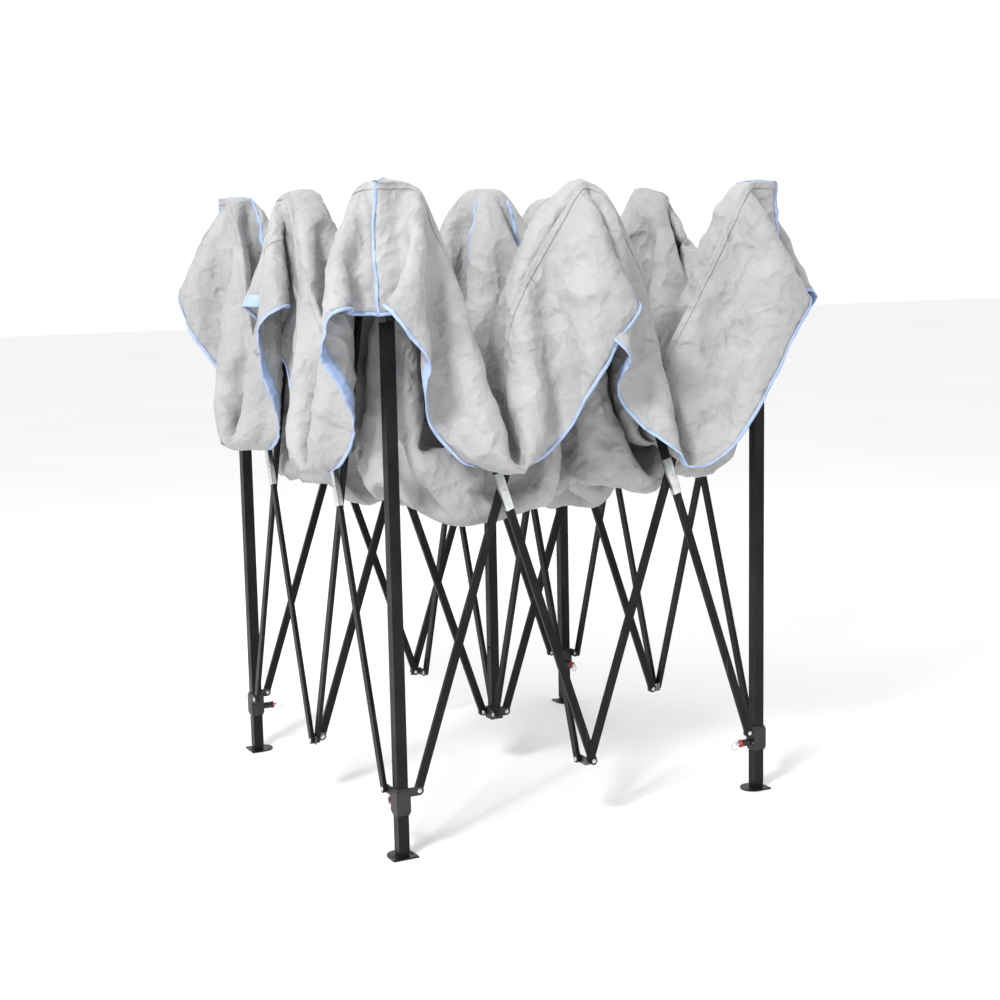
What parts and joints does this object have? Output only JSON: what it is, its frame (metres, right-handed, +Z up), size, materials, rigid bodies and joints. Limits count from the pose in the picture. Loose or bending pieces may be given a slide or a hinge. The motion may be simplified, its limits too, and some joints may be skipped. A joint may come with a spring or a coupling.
{
  "type": "pop-up gazebo",
  "caption": "Pop-up gazebo, half folded: four telescoping legs joined by scissor trusses to a sliding centre pole, with a loose draped canopy and valance.",
  "frame": {"origin": "on the floor, under the middle of the frame", "axes": "+Z up along the legs; -Y is the front side, between the front left and front right legs"},
  "size_m": [1.3394, 1.3394, 1.598],
  "materials": {
    "black_steel": "semi-gloss powder coat",
    "black_plastic": "satin moulded",
    "bracket_steel": "dark zinc plate",
    "zinc_steel": "bright zinc plate",
    "canopy_cloth": "matt woven polyester",
    "edge_binding": "woven binding tape",
    "red_plastic": "gloss"
  },
  "bodies": {
    "hub_top": {"hub_top": "black_plastic", "canopy": "canopy_cloth"},
    "centre_pole": {"centre_pole": "black_steel", "hub_bottom": "black_plastic"},
    "front_bar_left_outer": {"front_bar_left_outer": "black_steel"},
    "front_bar_left_inner": {"front_bar_left_inner": "black_steel"},
    "front_bar_right_outer": {"front_bar_right_outer": "black_steel"},
    "front_bar_right_inner": {"front_bar_right_inner": "black_steel"},
    "front_cross_outer": {"front_cross_outer": "black_steel"},
    "front_cross_inner": {"front_cross_inner": "black_steel"},
    "front_top_bracket": {"front_top_bracket": "black_steel"},
    "front_bottom_bracket": {"front_bottom_bracket": "bracket_steel"},
    "front_right_leg": {"front_right_leg": "black_steel", "front_right_leg_cap": "black_plastic"},
    "front_right_inner_leg": {"front_right_inner_leg": "black_steel", "front_right_foot": "black_steel"},
    "front_right_slider": {"front_right_slider": "black_plastic"},
    "front_right_pull_pin": {"front_right_pull_pin": "zinc_steel"},
    "right_bar_left_outer": {"right_bar_left_outer": "black_steel"},
    "right_bar_left_inner": {"right_bar_left_inner": "black_steel"},
    "right_bar_right_outer": {"right_bar_right_outer": "black_steel"},
    "right_bar_right_inner": {"right_bar_right_inner": "black_steel"},
    "right_cross_outer": {"right_cross_outer": "black_steel"},
    "right_cross_inner": {"right_cross_inner": "black_steel"},
    "right_top_bracket": {"right_top_bracket": "black_steel"},
    "right_bottom_bracket": {"right_bottom_bracket": "bracket_steel"},
    "back_right_leg": {"back_right_leg": "black_steel", "back_right_leg_cap": "black_plastic"},
    "back_right_inner_leg": {"back_right_inner_leg": "black_steel", "back_right_foot": "black_steel"},
    "back_right_slider": {"back_right_slider": "black_plastic"},
    "back_right_pull_pin": {"back_right_pull_pin": "zinc_steel"},
    "back_bar_left_outer": {"back_bar_left_outer": "black_steel"},
    "back_bar_left_inner": {"back_bar_left_inner": "black_steel"},
    "back_bar_right_outer": {"back_bar_right_outer": "black_steel"},
    "back_bar_right_inner": {"back_bar_right_inner": "black_steel"},
    "back_cross_outer": {"back_cross_outer": "black_steel"},
    "back_cross_inner": {"back_cross_inner": "black_steel"},
    "back_top_bracket": {"back_top_bracket": "black_steel"},
    "back_bottom_bracket": {"back_bottom_bracket": "bracket_steel"},
    "back_left_leg": {"back_left_leg": "black_steel", "back_left_leg_cap": "black_plastic"},
    "back_left_inner_leg": {"back_left_inner_leg": "black_steel", "back_left_foot": "black_steel"},
    "back_left_slider": {"back_left_slider": "black_plastic"},
    "back_left_pull_pin": {"back_left_pull_pin": "zinc_steel"},
    "left_bar_left_outer": {"left_bar_left_outer": "black_steel"},
    "left_bar_left_inner": {"left_bar_left_inner": "black_steel"},
    "left_bar_right_outer": {"left_bar_right_outer": "black_steel"},
    "left_bar_right_inner": {"left_bar_right_inner": "black_steel"},
    "left_cross_outer": {"left_cross_outer": "black_steel"},
    "left_cross_inner": {"left_cross_inner": "black_steel"},
    "left_top_bracket": {"left_top_bracket": "black_steel"},
    "left_bottom_bracket": {"left_bottom_bracket": "bracket_steel"},
    "front_left_leg": {"front_left_leg": "black_steel", "front_left_leg_cap": "black_plastic"},
    "front_left_inner_leg": {"front_left_inner_leg": "black_steel", "front_left_foot": "black_steel"},
    "front_left_slider": {"front_left_slider": "black_plastic"},
    "front_left_pull_pin": {"front_left_pull_pin": "zinc_steel"}
  },
  "joints": [
    {"name": "fold", "type": "hinge", "parent": "hub_top", "child": "front_cross_outer", "pos_m": [-0.0245, -0.03, 1.574], "axis": [-1, 0, 0], "range_deg": [-14.2, 51.9], "deforming": ["canopy"]},
    {"name": "front_cross_centre", "type": "hinge", "parent": "front_cross_outer", "child": "front_cross_inner", "pos_m": [-0.0175, -0.26886, 0.86833], "axis": [-1, 0, 0], "range_deg": [-104.3, 28.9]},
    {"name": "front_top_bracket_hinge", "type": "hinge", "parent": "front_cross_inner", "child": "front_top_bracket", "pos_m": [-0.0105, -0.50771, 1.574], "axis": [-1, 0, 0], "range_deg": [-14.7, 52.4]},
    {"name": "front_bottom_bracket_hinge", "type": "hinge", "parent": "front_cross_outer", "child": "front_bottom_bracket", "pos_m": [-0.0245, -0.50771, 0.16266], "axis": [-1, 0, 0], "range_deg": [-52.4, 14.7]},
    {"name": "centre_pole_hinge", "type": "hinge", "parent": "front_cross_inner", "child": "centre_pole", "pos_m": [-0.0105, -0.03, 0.16266], "axis": [-1, 0, 0], "range_deg": [-14.7, 52.4]},
    {"name": "front_left_inner_top", "type": "hinge", "parent": "front_top_bracket", "child": "front_bar_left_inner", "pos_m": [0, -0.53021, 1.574], "axis": [0, -1, 0], "range_deg": [-52.4, 14.7]},
    {"name": "front_left_centre", "type": "hinge", "parent": "front_bar_left_inner", "child": "front_bar_left_outer", "pos_m": [-0.23886, -0.53721, 0.86833], "axis": [0, -1, 0], "range_deg": [-28.9, 104.3]},
    {"name": "front_right_outer_top", "type": "hinge", "parent": "front_top_bracket", "child": "front_bar_right_outer", "pos_m": [0, -0.54421, 1.574], "axis": [0, -1, 0], "range_deg": [-14.7, 52.4]},
    {"name": "front_right_centre", "type": "hinge", "parent": "front_bar_right_outer", "child": "front_bar_right_inner", "pos_m": [0.23886, -0.53721, 0.86833], "axis": [0, -1, 0], "range_deg": [-104.3, 28.9]},
    {"name": "front_right_leg_hinge", "type": "hinge", "parent": "front_bar_right_inner", "child": "front_right_leg", "pos_m": [0.47771, -0.53021, 1.574], "axis": [0, -1, 0], "range_deg": [-14.7, 52.4]},
    {"name": "front_right_slider_hinge", "type": "hinge", "parent": "front_bar_right_outer", "child": "front_right_slider", "pos_m": [0.47771, -0.54421, 0.16266], "axis": [0, -1, 0], "range_deg": [-52.4, 14.7]},
    {"name": "right_cross_outer_hinge", "type": "hinge", "parent": "hub_top", "child": "right_cross_outer", "pos_m": [0.03, -0.0245, 1.574], "axis": [0, -1, 0], "range_deg": [-14.7, 52.4]},
    {"name": "right_cross_centre", "type": "hinge", "parent": "right_cross_outer", "child": "right_cross_inner", "pos_m": [0.26886, -0.0175, 0.86833], "axis": [0, -1, 0], "range_deg": [-104.3, 28.9]},
    {"name": "right_top_bracket_hinge", "type": "hinge", "parent": "right_cross_inner", "child": "right_top_bracket", "pos_m": [0.50771, -0.0105, 1.574], "axis": [0, -1, 0], "range_deg": [-14.7, 52.4]},
    {"name": "right_bottom_bracket_hinge", "type": "hinge", "parent": "right_cross_outer", "child": "right_bottom_bracket", "pos_m": [0.50771, -0.0245, 0.16266], "axis": [0, -1, 0], "range_deg": [-52.4, 14.7]},
    {"name": "right_left_inner_top", "type": "hinge", "parent": "right_top_bracket", "child": "right_bar_left_inner", "pos_m": [0.53021, 0, 1.574], "axis": [1, 0, 0], "range_deg": [-52.4, 14.7]},
    {"name": "right_left_centre", "type": "hinge", "parent": "right_bar_left_inner", "child": "right_bar_left_outer", "pos_m": [0.53721, -0.23886, 0.86833], "axis": [1, 0, 0], "range_deg": [-28.9, 104.3]},
    {"name": "right_right_outer_top", "type": "hinge", "parent": "right_top_bracket", "child": "right_bar_right_outer", "pos_m": [0.54421, 0, 1.574], "axis": [1, 0, 0], "range_deg": [-14.7, 52.4]},
    {"name": "right_right_centre", "type": "hinge", "parent": "right_bar_right_outer", "child": "right_bar_right_inner", "pos_m": [0.53721, 0.23886, 0.86833], "axis": [1, 0, 0], "range_deg": [-104.3, 28.9]},
    {"name": "back_right_leg_hinge", "type": "hinge", "parent": "right_bar_right_inner", "child": "back_right_leg", "pos_m": [0.53021, 0.47771, 1.574], "axis": [1, 0, 0], "range_deg": [-14.7, 52.4]},
    {"name": "back_right_slider_hinge", "type": "hinge", "parent": "right_bar_right_outer", "child": "back_right_slider", "pos_m": [0.54421, 0.47771, 0.16266], "axis": [1, 0, 0], "range_deg": [-52.4, 14.7]},
    {"name": "back_cross_outer_hinge", "type": "hinge", "parent": "hub_top", "child": "back_cross_outer", "pos_m": [0.0245, 0.03, 1.574], "axis": [1, 0, 0], "range_deg": [-14.7, 52.4]},
    {"name": "back_cross_centre", "type": "hinge", "parent": "back_cross_outer", "child": "back_cross_inner", "pos_m": [0.0175, 0.26886, 0.86833], "axis": [1, 0, 0], "range_deg": [-104.3, 28.9]},
    {"name": "back_top_bracket_hinge", "type": "hinge", "parent": "back_cross_inner", "child": "back_top_bracket", "pos_m": [0.0105, 0.50771, 1.574], "axis": [1, 0, 0], "range_deg": [-14.7, 52.4]},
    {"name": "back_bottom_bracket_hinge", "type": "hinge", "parent": "back_cross_outer", "child": "back_bottom_bracket", "pos_m": [0.0245, 0.50771, 0.16266], "axis": [1, 0, 0], "range_deg": [-52.4, 14.7]},
    {"name": "back_left_inner_top", "type": "hinge", "parent": "back_top_bracket", "child": "back_bar_left_inner", "pos_m": [0, 0.53021, 1.574], "axis": [0, 1, 0], "range_deg": [-52.4, 14.7]},
    {"name": "back_left_centre", "type": "hinge", "parent": "back_bar_left_inner", "child": "back_bar_left_outer", "pos_m": [0.23886, 0.53721, 0.86833], "axis": [0, 1, 0], "range_deg": [-28.9, 104.3]},
    {"name": "back_right_outer_top", "type": "hinge", "parent": "back_top_bracket", "child": "back_bar_right_outer", "pos_m": [0, 0.54421, 1.574], "axis": [0, 1, 0], "range_deg": [-14.7, 52.4]},
    {"name": "back_right_centre", "type": "hinge", "parent": "back_bar_right_outer", "child": "back_bar_right_inner", "pos_m": [-0.23886, 0.53721, 0.86833], "axis": [0, 1, 0], "range_deg": [-104.3, 28.9]},
    {"name": "back_left_leg_hinge", "type": "hinge", "parent": "back_bar_right_inner", "child": "back_left_leg", "pos_m": [-0.47771, 0.53021, 1.574], "axis": [0, 1, 0], "range_deg": [-14.7, 52.4]},
    {"name": "back_left_slider_hinge", "type": "hinge", "parent": "back_bar_right_outer", "child": "back_left_slider", "pos_m": [-0.47771, 0.54421, 0.16266], "axis": [0, 1, 0], "range_deg": [-52.4, 14.7]},
    {"name": "left_cross_outer_hinge", "type": "hinge", "parent": "hub_top", "child": "left_cross_outer", "pos_m": [-0.03, 0.0245, 1.574], "axis": [0, 1, 0], "range_deg": [-14.7, 52.4]},
    {"name": "left_cross_centre", "type": "hinge", "parent": "left_cross_outer", "child": "left_cross_inner", "pos_m": [-0.26886, 0.0175, 0.86833], "axis": [0, 1, 0], "range_deg": [-104.3, 28.9]},
    {"name": "left_top_bracket_hinge", "type": "hinge", "parent": "left_cross_inner", "child": "left_top_bracket", "pos_m": [-0.50771, 0.0105, 1.574], "axis": [0, 1, 0], "range_deg": [-14.7, 52.4]},
    {"name": "left_bottom_bracket_hinge", "type": "hinge", "parent": "left_cross_outer", "child": "left_bottom_bracket", "pos_m": [-0.50771, 0.0245, 0.16266], "axis": [0, 1, 0], "range_deg": [-52.4, 14.7]},
    {"name": "left_left_inner_top", "type": "hinge", "parent": "left_top_bracket", "child": "left_bar_left_inner", "pos_m": [-0.53021, 0, 1.574], "axis": [-1, 0, 0], "range_deg": [-52.4, 14.7]},
    {"name": "left_left_centre", "type": "hinge", "parent": "left_bar_left_inner", "child": "left_bar_left_outer", "pos_m": [-0.53721, 0.23886, 0.86833], "axis": [-1, 0, 0], "range_deg": [-28.9, 104.3]},
    {"name": "left_right_outer_top", "type": "hinge", "parent": "left_top_bracket", "child": "left_bar_right_outer", "pos_m": [-0.54421, 0, 1.574], "axis": [-1, 0, 0], "range_deg": [-14.7, 52.4]},
    {"name": "left_right_centre", "type": "hinge", "parent": "left_bar_right_outer", "child": "left_bar_right_inner", "pos_m": [-0.53721, -0.23886, 0.86833], "axis": [-1, 0, 0], "range_deg": [-104.3, 28.9]},
    {"name": "front_left_leg_hinge", "type": "hinge", "parent": "left_bar_right_inner", "child": "front_left_leg", "pos_m": [-0.53021, -0.47771, 1.574], "axis": [-1, 0, 0], "range_deg": [-14.7, 52.4]},
    {"name": "front_left_slider_hinge", "type": "hinge", "parent": "left_bar_right_outer", "child": "front_left_slider", "pos_m": [-0.54421, -0.47771, 0.16266], "axis": [-1, 0, 0], "range_deg": [-52.4, 14.7]},
    {"name": "front_left_leg_extension", "type": "slide", "parent": "front_left_leg", "child": "front_left_inner_leg", "axis": [0, 0, -1], "range_m": [0, 0.65]},
    {"name": "front_left_pin_pull", "type": "slide", "parent": "front_left_slider", "child": "front_left_pull_pin", "axis": [0, 1, 0], "range_m": [0, 0.008], "stiffness_N_per_m": 800, "springref_m": -0.005},
    {"name": "front_right_leg_extension", "type": "slide", "parent": "front_right_leg", "child": "front_right_inner_leg", "axis": [0, 0, -1], "range_m": [0, 0.65]},
    {"name": "front_right_pin_pull", "type": "slide", "parent": "front_right_slider", "child": "front_right_pull_pin", "axis": [-1, 0, 0], "range_m": [0, 0.008], "stiffness_N_per_m": 800, "springref_m": -0.005},
    {"name": "back_right_leg_extension", "type": "slide", "parent": "back_right_leg", "child": "back_right_inner_leg", "axis": [0, 0, -1], "range_m": [0, 0.65]},
    {"name": "back_right_pin_pull", "type": "slide", "parent": "back_right_slider", "child": "back_right_pull_pin", "axis": [0, -1, 0], "range_m": [0, 0.008], "stiffness_N_per_m": 800, "springref_m": -0.005},
    {"name": "back_left_leg_extension", "type": "slide", "parent": "back_left_leg", "child": "back_left_inner_leg", "axis": [0, 0, -1], "range_m": [0, 0.65]},
    {"name": "back_left_pin_pull", "type": "slide", "parent": "back_left_slider", "child": "back_left_pull_pin", "axis": [1, 0, 0], "range_m": [0, 0.008], "stiffness_N_per_m": 800, "springref_m": -0.005}
  ],
  "couplings": [
    {"joint": "front_cross_centre", "follows": "fold", "ratio": -2},
    {"joint": "front_top_bracket_hinge", "follows": "fold", "ratio": 1},
    {"joint": "front_bottom_bracket_hinge", "follows": "fold", "ratio": -1},
    {"joint": "centre_pole_hinge", "follows": "fold", "ratio": 1},
    {"joint": "front_left_inner_top", "follows": "fold", "ratio": -1},
    {"joint": "front_left_centre", "follows": "fold", "ratio": 2},
    {"joint": "front_right_outer_top", "follows": "fold", "ratio": 1},
    {"joint": "front_right_centre", "follows": "fold", "ratio": -2},
    {"joint": "front_right_leg_hinge", "follows": "fold", "ratio": 1},
    {"joint": "front_right_slider_hinge", "follows": "fold", "ratio": -1},
    {"joint": "right_cross_outer_hinge", "follows": "fold", "ratio": 1},
    {"joint": "right_cross_centre", "follows": "fold", "ratio": -2},
    {"joint": "right_top_bracket_hinge", "follows": "fold", "ratio": 1},
    {"joint": "right_bottom_bracket_hinge", "follows": "fold", "ratio": -1},
    {"joint": "right_left_inner_top", "follows": "fold", "ratio": -1},
    {"joint": "right_left_centre", "follows": "fold", "ratio": 2},
    {"joint": "right_right_outer_top", "follows": "fold", "ratio": 1},
    {"joint": "right_right_centre", "follows": "fold", "ratio": -2},
    {"joint": "back_right_leg_hinge", "follows": "fold", "ratio": 1},
    {"joint": "back_right_slider_hinge", "follows": "fold", "ratio": -1},
    {"joint": "back_cross_outer_hinge", "follows": "fold", "ratio": 1},
    {"joint": "back_cross_centre", "follows": "fold", "ratio": -2},
    {"joint": "back_top_bracket_hinge", "follows": "fold", "ratio": 1},
    {"joint": "back_bottom_bracket_hinge", "follows": "fold", "ratio": -1},
    {"joint": "back_left_inner_top", "follows": "fold", "ratio": -1},
    {"joint": "back_left_centre", "follows": "fold", "ratio": 2},
    {"joint": "back_right_outer_top", "follows": "fold", "ratio": 1},
    {"joint": "back_right_centre", "follows": "fold", "ratio": -2},
    {"joint": "back_left_leg_hinge", "follows": "fold", "ratio": 1},
    {"joint": "back_left_slider_hinge", "follows": "fold", "ratio": -1},
    {"joint": "left_cross_outer_hinge", "follows": "fold", "ratio": 1},
    {"joint": "left_cross_centre", "follows": "fold", "ratio": -2},
    {"joint": "left_top_bracket_hinge", "follows": "fold", "ratio": 1},
    {"joint": "left_bottom_bracket_hinge", "follows": "fold", "ratio": -1},
    {"joint": "left_left_inner_top", "follows": "fold", "ratio": -1},
    {"joint": "left_left_centre", "follows": "fold", "ratio": 2},
    {"joint": "left_right_outer_top", "follows": "fold", "ratio": 1},
    {"joint": "left_right_centre", "follows": "fold", "ratio": -2},
    {"joint": "front_left_leg_hinge", "follows": "fold", "ratio": 1},
    {"joint": "front_left_slider_hinge", "follows": "fold", "ratio": -1}
  ]
}
